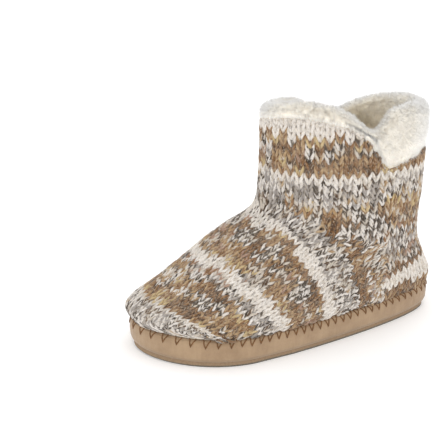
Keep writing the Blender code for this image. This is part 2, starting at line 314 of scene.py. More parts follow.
# Millimetres by which a course of the shaft leaves the level, by height and by degrees from the
# front.
SHIFT_DEGREES = (0, 24, 48, 75, 98, 126, 158, 180)
COURSE_SHIFTS = (
    (22, (0, 0, 0, -4, -4, -1, 1, 1)),
    (45, (0, 0, 0, -6, -8, -2, 2, 3)),
    (78, (4, 4, 6, 9, 3, -1, -5, -6)),
    (108, (0, 0, 0, 1, 2, 0, -3, -4)),
    (133, (0, 0, 0, 0, 1, 0, -2, -2)),
    (168, (-1, 3, 1, -3, -4, 0, 0, 0)),
)

# Soft troughs, or ridges below nought: two ends, half width and depth in millimetres.
CREASES = (
    ((-34, -22, 104), (-4, -26, 101), 9, 1.2),
    ((-4, -26, 101), (30, -8, 96), 9, 1.4),
    ((30, -8, 96), (46, 22, 84), 9, 1.0),
    ((4, -18, 118), (40, 14, 112), 8, -0.7),
    ((46, 30, 60), (50, 6, 40), 10, 0.7),
    ((42, 70, 92), (30, 102, 84), 9, 0.9),
    ((-42, 70, 92), (-30, 102, 84), 9, 0.9),
    ((38, -40, 62), (52, -20, 40), 11, -0.6),
    ((-40, 0, 84), (-20, -24, 96), 9, 1.1),
)


# Helpers
def smooth_rows(rows, places):
    """The table's rows at other places in its first column, on a smooth curve with no overshoot."""
    table = np.array(rows, dtype=float)
    known = table[:, 0]
    step = np.diff(known)[:, None]
    slope = np.diff(table, axis=0) / step
    turning = slope[:-1] * slope[1:] <= 0
    total = np.where(turning, 1.0, slope[:-1] + slope[1:])
    tangent = np.empty_like(table)
    tangent[0], tangent[-1] = slope[0], slope[-1]
    tangent[1:-1] = np.where(turning, 0.0, 2 * slope[:-1] * slope[1:] / total)
    places = np.clip(places, known[0], known[-1])
    cell = np.clip(np.searchsorted(known, places, side="right") - 1, 0, len(known) - 2)
    width = step[cell]
    t = ((places - known[cell]) / width[:, 0])[:, None]
    return (table[cell] * (1 + 2 * t) * (1 - t) ** 2 + tangent[cell] * width * t * (1 - t) ** 2
            + table[cell + 1] * t * t * (3 - 2 * t) + tangent[cell + 1] * width * t * t * (t - 1))


def unit(vectors):
    """Vectors of length 1."""
    return vectors / np.maximum(np.linalg.norm(vectors, axis=-1, keepdims=True), 1e-12)


def off_line(offset, line):
    """How far each offset from a line's start is from the line."""
    share = np.clip(offset @ line / (line @ line), 0, 1)
    return np.linalg.norm(offset - share[..., None] * line, axis=-1)


def running_length(points):
    """The length of a line of points up to each of them."""
    return np.concatenate([[0], np.cumsum(np.linalg.norm(np.diff(points, axis=0), axis=1))])


def tree_of(obj):
    """A search tree of an object's triangles."""
    mesh = obj.data
    mesh.calc_loop_triangles()
    faces = [tuple(t.vertices) for t in mesh.loop_triangles]
    return BVHTree.FromPolygons([v.co for v in mesh.vertices], faces)


def outer_point(tree, middle, direction):
    """Where a line from the middle outward last leaves the tree's surface, or None. A second
    line beside the first covers one that slips between two triangles."""
    direction = direction.normalized()
    for aside in (Vector((0, 0, 0)), Vector((0.00001, 0.00002, 0.00001))):
        hit, _, _, distance = tree.ray_cast(middle + aside + direction * REACH, -direction)
        if hit is not None and distance < REACH:
            return hit
    return None


def outward(angle):
    """Level and away from the middle. At 0 it faces the toe."""
    return Vector((math.sin(angle), -math.cos(angle), 0.0))


def link(name, data):
    """A new object with the data, in the scene."""
    obj = bpy.data.objects.new(name, data)
    bpy.context.scene.collection.objects.link(obj)
    return obj


def new_object(name, points, faces, material):
    """A smooth mesh object from points and faces that all have the same number of sides."""
    mesh = bpy.data.meshes.new(name)
    points = np.asarray(points, dtype=np.float32)
    faces = np.asarray(faces, dtype=np.int32)
    sides = faces.shape[1]
    mesh.vertices.add(len(points))
    mesh.vertices.foreach_set("co", points.ravel())
    mesh.loops.add(faces.size)
    mesh.loops.foreach_set("vertex_index", faces.ravel())
    mesh.polygons.add(len(faces))
    mesh.polygons.foreach_set("loop_start", np.arange(0, faces.size, sides, dtype=np.int32))
    mesh.update(calc_edges=True)
    mesh.validate()
    mesh.shade_smooth()
    mesh.materials.append(material)
    return link(name, mesh)


def round_angles(sides):
    return np.arange(sides) * 2 * math.pi / sides


def tubes(name, middle, out, side, radius, sides, material):
    """One mesh of open tubes round lines that all have the same number of points."""
    count, steps = middle.shape[:2]
    angles = round_angles(sides)
    ring = out[:, :, None] * np.cos(angles)[:, None] + side[:, :, None] * np.sin(angles)[:, None]
    points = middle[:, :, None] + ring * radius[:, :, None, None]
    index = np.arange(count * steps * sides).reshape(count, steps, sides)
    here, there = index[:, :-1], index[:, 1:]
    faces = np.stack([here, np.roll(here, -1, axis=2), np.roll(there, -1, axis=2), there], axis=-1)
    return new_object(name, points.reshape(-1, 3), faces.reshape(-1, 4), material)


def mesh_arrays(mesh):
    """The mesh's points, their normals and its triangles."""
    mesh.calc_loop_triangles()
    arrays = []
    for source, field, kind in ((mesh.vertices, "co", np.float32),
                                (mesh.vertex_normals, "vector", np.float32),
                                (mesh.loop_triangles, "vertices", np.int32)):
        values = np.zeros(3 * len(source), kind)
        source.foreach_get(field, values)
        arrays.append(values.reshape(-1, 3))
    points, normals, faces = arrays
    return points.astype(float), normals.astype(float), faces


def move_points(obj, points):
    obj.data.vertices.foreach_set("co", points.astype(np.float32).ravel())
    obj.data.update()


def add_attribute(obj, name, values, kind="FLOAT", field="value"):
    """A named value at each point, which the materials read."""
    layer = obj.data.attributes.new(name, kind, "POINT")
    layer.data.foreach_set(field, np.asarray(values, dtype=np.float32).ravel())


# Materials
class Nodes:
    """A material's node tree, with short calls for the nodes that it is made of."""

    def __init__(self, name):
        self.material = bpy.data.materials.new(name)
        self.material.use_nodes = True
        self.tree = self.material.node_tree
        self.shader = self.tree.nodes["Principled BSDF"]

    def put(self, kind, inputs=(), **settings):
        node = self.tree.nodes.new(kind)
        for key, value in settings.items():
            setattr(node, key, value)
        for key, value in dict(inputs).items():
            self.join(value, node.inputs[key])
        return node

    def join(self, value, socket):
        if isinstance(value, bpy.types.NodeSocket):
            self.tree.links.new(value, socket)
        else:
            socket.default_value = value

    def attribute(self, name):
        return self.put("ShaderNodeAttribute", attribute_name=name)

    def math(self, operation, a, b=0.0):
        return self.put("ShaderNodeMath", {0: a, 1: b}, operation=operation).outputs[0]

    def plus(self, a, b):
        return self.math("ADD", a, b)

    def times(self, a, b):
        return self.math("MULTIPLY", a, b)

    def mix(self, factor, a, b):
        node = self.put("ShaderNodeMix", data_type="RGBA")
        for socket, value in ((node.inputs[0], factor), (node.inputs[6], a), (node.inputs[7], b)):
            if isinstance(value, tuple):
                value = (*value[:3], 1.0)
            self.join(value, socket)
        return node.outputs[2]

    def noise(self, scale, detail, roughness, vector):
        inputs = {"Scale": scale, "Detail": detail, "Roughness": roughness, "Vector": vector}
        return self.put("ShaderNodeTexNoise", inputs).outputs["Fac"]

    def spread(self, value, low, high, most=1.0):
        inputs = {0: value, 1: low, 2: high, 3: 0.0, 4: most}
        return self.put("ShaderNodeMapRange", inputs, interpolation_type="SMOOTHSTEP").outputs[0]

    def place(self):
        return self.put("ShaderNodeTexCoord").outputs["Object"]

    def bump(self, height, distance, strength):
        inputs = {"Height": height, "Distance": distance, "Strength": strength}
        return self.put("ShaderNodeBump", inputs).outputs[0]

    def stretched(self, vector, scale, offset=(0.0, 0.0, 0.0)):
        inputs = {"Vector": vector, "Location": offset, "Scale": scale}
        return self.put("ShaderNodeMapping", inputs).outputs[0]

    def axes(self, vector):
        return self.put("ShaderNodeSeparateXYZ", {0: vector}).outputs

    def finish(self, colour, normal=None, **values):
        self.join(colour, self.shader.inputs["Base Color"])
        if normal is not None:
            self.join(normal, self.shader.inputs["Normal"])
        for key, value in values.items():
            self.shader.inputs[key.replace("_", " ")].default_value = value
        return self.material


def yarn_material():
    """Two twisted plies with flecks, their grooves and fibres in the bump."""
    n = Nodes("yarn")
    in_yarn = n.attribute("yarn").outputs["Vector"]
    across, up, along = n.axes(in_yarn)
    first = n.attribute("ply_a")
    turn = n.times(along, 2 * math.pi / PLY_TWIST)
    wave = n.plus(n.times(across, n.math("SINE", turn)), n.times(up, n.math("COSINE", turn)))
    place = n.place()
    fleck = n.noise(1.0, 3.0, 0.7, n.stretched(in_yarn, (1.6, 1.6, 460.0)))
    blend = n.plus(wave, n.times(n.math("SUBTRACT", fleck, 0.5), 4.5))
    blend = n.math("SUBTRACT", blend, first.outputs["Alpha"])
    colour = n.mix(n.spread(blend, -0.3, 0.3), n.attribute("ply_b").outputs["Color"],
                   first.outputs["Color"])
    soft = n.noise(95.0, 3.0, 0.6, place)
    colour = n.mix(n.spread(soft, 0.3, 0.75, 0.2), colour, srgb(195, 180, 162))
    speck = n.noise(1.0, 2.0, 0.6, n.stretched(in_yarn, (2.4, 2.4, 620.0), (5.0, 2.0, 3.0)))
    colour = n.mix(n.spread(speck, 0.54, 0.64, 0.62), colour, srgb(208, 191, 166))
    colour = n.mix(n.spread(speck, 0.43, 0.32, 0.5), colour, srgb(88, 70, 54))
    fine = n.noise(1300.0, 2.0, 0.7, place)
    colour = n.mix(n.spread(fine, 0.48, 0.72, 0.36), colour, srgb(104, 91, 80))
    height = n.plus(n.times(n.math("ABSOLUTE", wave), 0.5), fleck)
    height = n.plus(height, n.times(fine, 0.6))
    return n.finish(colour, n.bump(height, 0.0006, 0.8), Roughness=1.0, Specular_IOR_Level=0.1,
                    Sheen_Weight=0.25, Sheen_Roughness=0.5)


def fleece_material(name, light, deep, glow=0.0):
    """Dense short pile, with a faint painted shade between its tufts. Painted light: a weak glow
    stands in for light scattered in the pile. It is strongest where the pile faces down, where it
    lifts the shade under the roll."""
    n = Nodes(name)
    place = n.place()
    tuft = n.noise(330.0, 2.0, 0.5, place)
    # Painted glow: the ground strength everywhere, and full strength on the underside of the roll.
    ground = (glow, 0.97 * glow, 0.90 * glow)
    painted_glow = n.mix(n.attribute("under").outputs["Fac"], ground, (1.0, 0.95, 0.86))
    drift = n.noise(38.0, 2.0, 0.5, place)
    # Painted shade: the deep colour where the tuft noise, and so the bump, is low.
    colour = n.mix(n.spread(tuft, 0.35, 0.7), deep, light)
    colour = n.mix(n.spread(drift, 0.35, 0.75, 0.25), colour, srgb(230, 223, 210))
    # Painted shade inside the collar, yellower, by the depth attribute.
    shade = n.attribute("depth").outputs["Fac"]
    colour = n.mix(shade, colour, srgb(216, 195, 142))
    fine = n.noise(900.0, 2.0, 0.7, place)
    height = n.plus(tuft, n.times(fine, 0.35))
    n.join(painted_glow, n.shader.inputs["Emission Color"])
    return n.finish(colour, n.bump(height, 0.0006, 0.15), Roughness=1.0, Specular_IOR_Level=0.05,
                    Subsurface_Weight=1.0, Subsurface_Scale=0.002,
                    Subsurface_Radius=(1.0, 1.0, 1.0), Emission_Strength=0.38)


def plain_noise_material(name, dark, light, scale, bump_scale, bump, roughness, **values):
    """A mottled surface with a fine grain."""
    n = Nodes(name)
    place = n.place()
    colour = n.mix(n.spread(n.noise(scale, 4.0, 0.6, place), 0.3, 0.7), dark, light)
    height = n.noise(bump_scale, 3.0, 0.65, place)
    return n.finish(colour, n.bump(height, bump, 0.6), Roughness=roughness, **values)


def outsole_material():
    """Rubber, tan at the side. It is grey on its last millimetre and underneath, where fine ribs
    run across it."""
    n = Nodes("ribbed_rubber")
    place = n.place()
    grain = n.noise(700.0, 3.0, 0.6, place)
    colour = n.mix(n.spread(grain, 0.3, 0.7), srgb(142, 119, 94), srgb(156, 132, 106))
    x, y, z = n.axes(place)
    grey = n.mix(n.spread(grain, 0.3, 0.7), srgb(98, 93, 84), srgb(116, 110, 99))
    colour = n.mix(n.spread(z, 0.0016, 0.0008), colour, grey)
    bend = n.times(n.math("SINE", n.times(x, 340.0)), 0.9)
    rib = n.math("SINE", n.plus(n.times(y, 1450.0), bend))
    rib = n.times(n.spread(rib, -0.3, 0.3), n.spread(z, 0.0008, 0.0003))
    height = n.plus(n.times(rib, 2.0), n.times(grain, 0.2))
    return n.finish(colour, n.bump(height, 0.0006, 0.8), Roughness=0.78, Specular_IOR_Level=0.3)


def suede_material():
    """Tan suede: cloudy nap, fine grain, faint upright pulls, and darker on its lowest few
    millimetres.
    """
    n = Nodes("suede_band")
    place = n.place()
    cloud = n.noise(55.0, 4.0, 0.6, place)
    grain = n.noise(1100.0, 3.0, 0.7, place)
    pulls = n.noise(420.0, 2.0, 0.5, n.stretched(place, (1.0, 1.0, 0.12)))
    colour = n.mix(n.spread(cloud, 0.3, 0.7), srgb(154, 128, 101), srgb(170, 144, 115))
    colour = n.mix(n.spread(pulls, 0.42, 0.7, 0.16), colour, srgb(140, 114, 88))
    colour = n.mix(n.spread(grain, 0.5, 0.8, 0.3), colour, srgb(182, 157, 128))
    colour = n.mix(n.spread(n.axes(place)[2], 0.0085, 0.004, 0.45), colour, srgb(128, 108, 82))
    height = n.plus(grain, n.times(pulls, 0.8))
    return n.finish(colour, n.bump(height, 0.0004, 0.55), Roughness=0.92, Specular_IOR_Level=0.2,
                    Sheen_Weight=0.3, Sheen_Roughness=0.5)


# The knit
def catmull(t):
    """What each of four points in a row counts at a place between the middle two."""
    return np.stack([-0.5 * t ** 3 + t ** 2 - 0.5 * t, 1.5 * t ** 3 - 2.5 * t ** 2 + 1,
                     -1.5 * t ** 3 + 2 * t ** 2 + 0.5 * t, 0.5 * t ** 3 - 0.5 * t ** 2], axis=-1)


class Grid:
    """Points and normals of a surface at whole courses and wales, and smoothly between them."""

    def __init__(self, points, closed, flip=False):
        self.closed = closed
        if closed:
            across = np.roll(points, -1, axis=1) - np.roll(points, 1, axis=1)
        else:
            across = np.gradient(points, axis=1)
        normal = np.cross(across, np.gradient(points, axis=0))
        self.normals = unit(-normal if flip else normal)
        self.points = points - self.normals * crease_depth(points)[..., None]

    def at(self, table, course, wale):
        rows, columns = table.shape[:2]
        r0, c0 = np.floor(course).astype(int), np.floor(wale).astype(int)
        wr, wc = catmull(course - r0), catmull(wale - c0)
        total = 0.0
        for a in range(4):
            r = np.clip(r0 + a - 1, 0, rows - 1)
            for b in range(4):
                c = c0 + b - 1
                c = c % columns if self.closed else np.clip(c, 0, columns - 1)
                total = total + (wr[..., a] * wc[..., b])[..., None] * table[r, c]
        return total


def crease_depth(points):
    """How far the listed creases take each point in."""
    depth = np.zeros(points.shape[:-1])
    for start, end, width, size in CREASES:
        a, b = np.array(start) * MM, np.array(end) * MM
        depth += size * MM * np.exp(-(off_line(points - a, b - a) / (width * MM)) ** 2)
    return depth


def seam_place(height):
    """Where the seam lies along the foot, at a height. Above the seam all is shaft."""
    table = np.array(SEAM) * MM
    return np.interp(height, table[:, 0], table[:, 1], right=-1.0)


def course_shift(levels, degrees):
    """How far the course of each level is off it, at a turn in degrees."""
    turned = min(degrees % 360, 360 - degrees % 360)
    shifts = [np.interp(turned, SHIFT_DEGREES, row[1]) * MM for row in COURSE_SHIFTS]
    return np.interp(levels, [row[0] * MM for row in COURSE_SHIFTS], shifts)


def shaft_point(tree, angle, height):
    """The shaft's outer wall at an angle and a height, or None above its edge."""
    middle = Vector((*SHAFT_AXIS, height))
    hit = outer_point(tree, middle, outward(angle))
    return hit if hit is not None and (hit - middle).length > SHAFT_CORE else None


def shaft_angles(tree):
    """Angles of the shaft's wales, even along its girth."""
    fine = np.linspace(0, 2 * math.pi, 721)
    ring = np.array([shaft_point(tree, a, SHAFT_GIRTH_HEIGHT) for a in fine])
    length = running_length(ring)
    return np.interp(np.arange(SHAFT_WALES) / SHAFT_WALES * length[-1], length, fine)


def rim_height(tree, angle):
    """Height of the knit's top edge at an angle, by halving."""
    low, high = SHAFT_GIRTH_HEIGHT, KNIT_TOP
    for _ in range(RIM_HALVINGS):
        middle = (low + high) / 2
        if shaft_point(tree, angle, middle) is None:
            high = middle
        else:
            low = middle
    return low


def shaft_grid(tree):
    """The grid round the shaft and the heel, its courses' heights before they shift, and the
    rim's height at each wale."""
    angles = shaft_angles(tree)
    rims = np.array([rim_height(tree, a) for a in angles])
    levels = BAND_HEIGHT + np.arange(-ROWS_BELOW_BAND, ROWS_ABOVE_BAND + 1) * COURSE_PITCH
    points = np.zeros((len(levels), SHAFT_WALES, 3))
    for c, angle in enumerate(angles):
        heights = levels + course_shift(levels, math.degrees(angle))
        for r, height in enumerate(heights):
            inside = min(max(height, SOLE_EDGE + SOLE_MARGIN), rims[c] - RIM_MARGIN)
            hit = shaft_point(tree, angle, inside)
            points[r, c] = (hit.x, hit.y, height)
    return Grid(points, True), levels, rims


def course_line(tree, side, x, y, z, tilt, sweep):
    """Points on the upper, from the instep down one side of the foot and past the sole's edge."""
    middle = Vector((x, y, z)) * MM
    lean = math.radians(tilt)
    up = Vector((0.0, -math.sin(lean), math.cos(lean)))
    back = Vector((0.0, math.cos(lean), math.sin(lean)))
    line = []
    for turn in np.radians(np.arange(COURSE_DEGREES)):
        trail = math.sqrt(math.sin(turn) ** 2 + COURSE_ROUNDING) - math.sqrt(COURSE_ROUNDING)
        direction = (Vector((side * math.sin(turn), 0, 0)) + up * math.cos(turn)
                     + back * sweep * trail)
        hit = outer_point(tree, middle, direction)
        if hit is not None:
            line.append(hit)
    return np.array(line)


def foot_grid(tree, side):
    """The grid over one side of the foot, from the toe and from the instep down, with each
    course's place along the foot and the wales that it has down to the sole."""
    pitch = COURSE_PITCH * FOOT_GAUGE / MM
    along = np.arange(0, FOOT_LENGTH + pitch, pitch)
    points, ends = [], []
    for place, *course in smooth_rows(FOOT_COURSES, along):
        line = course_line(tree, side, *course)
        length = running_length(line)
        if place <= FOOT_TURN:
            turn_length, start = length[-1], 0.0
        else:
            start = length[-1] - (turn_length + FOOT_SPREAD * (place - FOOT_TURN) * MM)
        wanted = start + np.arange(FOOT_WALES + 1) * WALE_PITCH * FOOT_GAUGE
        node = np.stack([np.interp(wanted, length, line[:, k]) for k in range(3)], axis=1)
        node += np.maximum(wanted - length[-1], 0)[:, None] * unit(line[-1] - line[-4])
        node += np.maximum(-wanted, 0)[:, None] * unit(line[0] - line[3])
        points.append(node)
        ends.append((length[-1] - start) / (WALE_PITCH * FOOT_GAUGE))
    points = np.array(points)
    for r in range(1, len(along)):
        if along[r] > FOOT_TURN:
            step = points[r] - points[r - 1]
            length = np.linalg.norm(step, axis=1, keepdims=True)
            points[r] = points[r - 1] + step * np.minimum(1, LONGEST_COURSE * pitch * MM / length)
    return Grid(points, False, flip=side < 0), along, np.array(ends)


def patch_distance(points, start, end):
    """How far each point is from a patch's line. On the inner side a patch that starts on the
    outer side counts too, by y and z alone."""
    a, b = np.array(start) * MM, np.array(end) * MM
    inner = points[:, 0] < MIRROR_FROM
    offset = points - inner[:, None] * np.array([0.0, MIRROR_SHIFT, 0.0]) - a
    level = off_line(offset[:, 1:], (b - a)[1:])
    return np.where(inner & (a[0] > 0), level, off_line(offset, b - a))


def pick_yarns(stripe_rows, levels, centres, cells, shape, seed):
    """The two plies of each stitch, by its stripe or patch, in blotches a few stitches across.
    The first ply's fourth value is where the second one takes over."""
    random = np.random.default_rng(seed)
    rows, columns = shape
    blotch = random.random((rows + 2, columns // 2 + 3))
    grain = random.random(shape)
    starts = np.array([row[0] for row in stripe_rows]) * MM
    ragged = levels + STRIPE_SPREAD * (random.random(len(cells)) - 0.5)
    order = np.maximum(0, np.searchsorted(starts, ragged, "right") - 1)
    names = [stripe_rows[k][1] for k in order]
    for start, end, width, stripe in PATCHES:
        least, rest = PATCH_SHARES
        reach = width * MM * (least + rest * random.random(len(cells)))
        inside = patch_distance(centres, start, end) < reach
        names = [stripe if held else name for name, held in zip(names, inside)]
    ply_a, ply_b = np.ones((len(cells), 4)), np.ones((len(cells), 4))
    for k, (r, c) in enumerate(cells):
        stripe = STRIPES[names[k]]
        half = (c + (r % 2) * 0.5) / 2
        cell, share = int(half), half - int(half)
        value = blotch[r, cell] * (1 - share) + blotch[r, cell + 1] * share
        value = BLOTCH_SHARE * value + (1 - BLOTCH_SHARE) * grain[r, c]
        value = np.clip((value - 0.5) * CHOICE_CONTRAST + 0.5, 0, 0.999)
        weights = np.cumsum([row[3] for row in stripe])
        chosen = stripe[int(np.searchsorted(weights / weights[-1], value, side="right"))]
        light = 1 + LIGHT_SPREAD * (random.random() - 0.5)
        ply_a[k, :3], ply_b[k, :3] = np.array(chosen[0]) * light, np.array(chosen[1]) * light
        ply_a[k, 3] = -math.cos(math.pi * chosen[2])
    return ply_a, ply_b


def sole_edge(points):
    """Height of the sole's top edge beside each point."""
    past = -points[..., 1] - TOE_LIFT_START
    return SOLE_EDGE + TOE_LIFT * np.clip(past / TOE_LIFT_LENGTH, 0, 1)


def tucked(middle, gauge, top):
    """The yarn's lines, with what hangs below the knit's lower edge turned in."""
    bottom = sole_edge(middle) + KNIT_EDGE * YARN_RADIUS * gauge
    under = np.clip(bottom - middle[..., 2], 0, TUCK)
    core = np.stack([0 * under, np.clip(middle[..., 1], -SOLE_CORE, SOLE_CORE)], axis=-1)
    middle[..., :2] += unit(core - middle[..., :2]) * (TUCK_IN * under)[..., None]
    middle[..., 2] = np.clip(middle[..., 2], bottom - TUCK_DOWN * under, top)
    return middle


def knit_piece(name, grid, cells, plies, ceiling, gauge, material, seed):
    """One mesh of yarn loops. Cells are course and wale of each stitch."""
    random = np.random.default_rng(seed)
    cells = np.array(cells, dtype=float)
    count = len(cells)

    def uneven(spread):
        return spread * (random.random((count, 1)) - 0.5)

    share = np.linspace(0, 1, YARN_STEPS + 1)
    turn = 2 * math.pi * share
    height = LOOP_HALF_HEIGHT * (1 + uneven(HEIGHT_SPREAD))
    swing = LOOP_SWING * (1 + uneven(SWING_SPREAD))
    course = cells[:, :1] + 0.5 - height * np.cos(turn)
    wale = cells[:, 1:] + share + swing * np.sin(2 * turn)
    behind = np.tanh(LEG_FLATNESS * np.cos(2 * turn)) / math.tanh(LEG_FLATNESS)
    depth = (YARN_DEPTH + LEG_RISE * behind) * gauge - uneven(DEPTH_SPREAD)
    normal = unit(grid.at(grid.normals, course, wale))
    middle = grid.at(grid.points, course, wale) - normal * depth[..., None]
    middle = tucked(middle, gauge, ceiling(wale))
    tangent = unit(np.gradient(middle, axis=1))
    side = unit(np.cross(tangent, normal))
    radius = YARN_RADIUS * gauge * (1 + uneven(RADIUS_SPREAD))
    radius = radius * (1 - (1 - YARN_NECK) * np.cos(turn) ** 2)
    obj = tubes(name, middle, np.cross(side, tangent), side, radius, YARN_SIDES, material)

    shape = (count, len(share), YARN_SIDES)
    angles = round_angles(YARN_SIDES)
    along = (cells[:, 1:, None] + share[:, None]) * YARN_PER_STITCH
    along = along + cells[:, :1, None] * YARN_SLIP
    yarn = np.stack([np.broadcast_to(part, shape)
                     for part in (np.cos(angles), np.sin(angles), along)], axis=-1)
    add_attribute(obj, "yarn", yarn, "FLOAT_VECTOR", "vector")
    for ply, colours in zip(("ply_a", "ply_b"), plies):
        spread = np.broadcast_to(colours[:, None, None], (*shape, 4))
        add_attribute(obj, ply, spread, "FLOAT_COLOR", "color")
    return obj


def stitches(points, columns, keep):
    """Course and wale of each stitch that is kept, and its middle."""
    cells, centres = [], []
    for r in range(len(points) - 1):
        for c in range(columns):
            following = (c + 1) % points.shape[1]
            centre = (points[r, c] + points[r + 1, c] + points[r, following]
                      + points[r + 1, following]) / 4
            if keep(r, c, centre):
                cells.append((r, c))
                centres.append(centre)
    return np.array(cells), np.array(centres)


def knit_shaft(tree, material):
    """The stitches of the shaft and the heel, in front and behind."""
    grid, levels, rims = shaft_grid(tree)

    def keep(r, c, centre):
        rim = min(rims[c], rims[(c + 1) % SHAFT_WALES])
        behind = centre[1] > seam_place(centre[2]) - SHAFT_PAST_SEAM
        return SOLE_EDGE < centre[2] < rim + SHAFT_PAST_RIM and behind

    def ceiling(wale):
        places = np.arange(SHAFT_WALES + 1)
        return np.interp(wale % SHAFT_WALES, places, np.append(rims, rims[0])) - YARN_RADIUS

    cells, centres = stitches(grid.points, SHAFT_WALES, keep)
    heights = (levels[:-1] + levels[1:])[cells[:, 0]] / 2
    plies = pick_yarns(SHAFT_STRIPES, heights, centres, cells, grid.points.shape[:2], 11)
    pieces = []
    front = (cells[:, 1] < SHAFT_WALES / 4) | (cells[:, 1] >= SHAFT_WALES * 3 / 4)
    for name, chosen in (("knit_shaft_front", front), ("knit_shaft_rear", ~front)):
        part = [ply[chosen] for ply in plies]
        pieces.append(knit_piece(name, grid, cells[chosen], part, ceiling, 1.0, material, 3))
    return pieces


def knit_foot(name, side, tree, material):
    """The stitches over one side of the foot."""
    grid, along, ends = foot_grid(tree, side)

    def keep(r, c, centre):
        inside = c + 0.5 < (ends[r] + ends[r + 1]) / 2 + FOOT_PAST_SOLE
        above = centre[2] > sole_edge(centre) + FOOT_LOWEST
        ahead = centre[1] < seam_place(centre[2]) + FOOT_PAST_SEAM
        return inside and above and ahead and (r > 0 or c < FIRST_COURSE_WALES)

    def no_ceiling(wale):
        return math.inf

    cells, centres = stitches(grid.points, FOOT_WALES, keep)
    places = (along[:-1] + along[1:])[cells[:, 0]] / 2 * MM
    plies = pick_yarns(FOOT_STRIPES, places, centres, cells, (len(along), FOOT_WALES), 21 + side)
    return knit_piece(name, grid, cells, plies, no_ceiling, FOOT_GAUGE, material, 5 + side)


# The fleece
def welded_copy(node, name, material):
    """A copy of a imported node's mesh with its split corners joined."""
    shape = bmesh.new()
    shape.from_mesh(node.data)
    bmesh.ops.remove_doubles(shape, verts=shape.verts, dist=0.00002)
    mesh = bpy.data.meshes.new(name)
    shape.to_mesh(mesh)
    shape.free()
    mesh.materials.clear()
    mesh.materials.append(material)
    mesh.shade_smooth()
    return link(name, mesh)


def fleece_cuff(node, material):
    """The rolled cuff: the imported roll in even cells, with soft lumps."""
    cuff = welded_copy(node, "fleece_cuff", material)
    remesh = cuff.modifiers.new("even", "REMESH")
    remesh.mode = "VOXEL"
    remesh.voxel_size = CUFF_CELL
    remesh.use_smooth_shade = True
    graph = bpy.context.evaluated_depsgraph_get()
    mesh = bpy.data.meshes.new_from_object(cuff.evaluated_get(graph))
    cuff.modifiers.clear()
    cuff.data = mesh
    points, normals, _ = mesh_arrays(cuff.data)
    lumps = np.array([sum(height * noise.noise(Vector(p) * fine) for fine, height in CUFF_LUMPS)
                      for p in points])
    points += normals * ((lumps - CUFF_SINK) * MM)[:, None]
    points[:, 2] += cuff_moves(points)
    move_points(cuff, points)
    # Painted shade inside the collar, and painted glow on its underside.
    add_attribute(cuff, "depth", painted_collar_shade(points))
    add_attribute(cuff, "under", painted_underside_glow(points, normals))
    return cuff


def cuff_moves(points):
    """How far up the rolled cuff goes at each point."""
    rise = np.zeros(len(points))
    for centre, width, size in CUFF_MOVES:
        away = np.linalg.norm(points - np.array(centre) * MM, axis=1)
        rise += size * MM * np.exp(-(away / (width * MM)) ** 2)
    return rise * np.clip((points[:, 2] - CUFF_MOVES_FROM) / CUFF_MOVES_OVER, 0, 1)


def painted_collar_shade(points):
    """How much painted shade a point gets for lying deep in the collar, from 0 on the outside to
    most well inside.
    """
    reach = np.linalg.norm((points[:, :2] - np.array(SHAFT_AXIS)) / np.array(COLLAR_HALF), axis=1)
    inside = np.clip((DEEP_FROM - reach) / DEEP_OVER, 0, 1)
    low = np.clip((DEEP_TOP - points[:, 2]) / DEEP_HEIGHT, 0, 1)
    return MOST_PAINTED_SHADE * inside * low


def painted_underside_glow(points, normals):
    """How much painted glow a point on the outside of the collar gets: more where it faces down
    into the shade under the roll, and less where the painted shade inside the collar is deep."""
    down = np.clip(UNDER_TILT - normals[:, 2], 0, 1)
    return down * np.clip(1 - UNDER_FADE * painted_collar_shade(points), 0, 1)


def pile(name, source, kind, material, keep=None):
    """Short tapered tufts all over a mesh, in one mesh. Keep says how many tufts each face gets,
    beside the others."""
    random = np.random.default_rng(kind.seed)
    count = kind.count
    points, normals, faces = mesh_arrays(source.data)
    a, b, c = (points[faces[:, k]] for k in range(3))
    area = np.linalg.norm(np.cross(b - a, c - a), axis=1)
    if keep is not None:
        area = area * keep((a + b + c) / 3, unit(np.cross(b - a, c - a)))
    chosen = random.choice(len(faces), count, p=area / area.sum())
    u, v = random.random(count), random.random(count)
    over = u + v > 1
    u[over], v[over] = 1 - u[over], 1 - v[over]
    share = np.stack([1 - u - v, u, v], axis=1)[..., None]
    root = (points[faces[chosen]] * share).sum(axis=1)
    normal = unit((normals[faces[chosen]] * share).sum(axis=1))
    swirl = np.array([[noise.noise(Vector(p) * SWIRL_FINENESS + offset) for offset in SWIRL_OFFSETS]
                      for p in root])
    scatter = SCATTER_SHARE * random.normal(size=(count, 3))
    grow = unit(normal + kind.lean * (swirl * SWIRL_SHARE + scatter))
    grow = unit(grow - np.array([0.0, 0.0, kind.droop]))
    side = unit(np.cross(grow, random.normal(size=(count, 3)))) * kind.width / 2
    other = np.cross(grow, side)
    least, rest = TUFT_SHARES
    tall = kind.length * (least + rest * random.random((count, 1)))
    foot = root - normal * kind.width / 2
    corners = [foot + side * math.cos(t) + other * math.sin(t) for t in round_angles(3)]
    vertices = np.stack([*corners, root + grow * tall], axis=1).reshape(-1, 3)
    start = np.arange(count)[:, None] * 4
    sides = np.concatenate([start + np.array(t) for t in ((0, 1, 3), (1, 2, 3), (2, 0, 3))])
    obj = new_object(name, vertices, sides, material)
    # Painted shade inside the collar, and painted glow under the roll.
    add_attribute(obj, "depth", kind.deep * painted_collar_shade(vertices))
    add_attribute(obj, "under", np.repeat(painted_underside_glow(root, normal), 4))
    return obj


def near_rim(tree):
    """A test that gives 1 near the knit's top edge on its outer side, else 0."""
    edge = np.array([shaft_point(tree, angle, rim_height(tree, angle) - RIM_MARGIN)
                     for angle in round_angles(RIM_POINTS)])

    def test(centre, normal):
        away = np.min(np.linalg.norm(centre[:, None] - edge[None], axis=2), axis=1)
        return (away < RIM_PILE_REACH).astype(float)

    return test


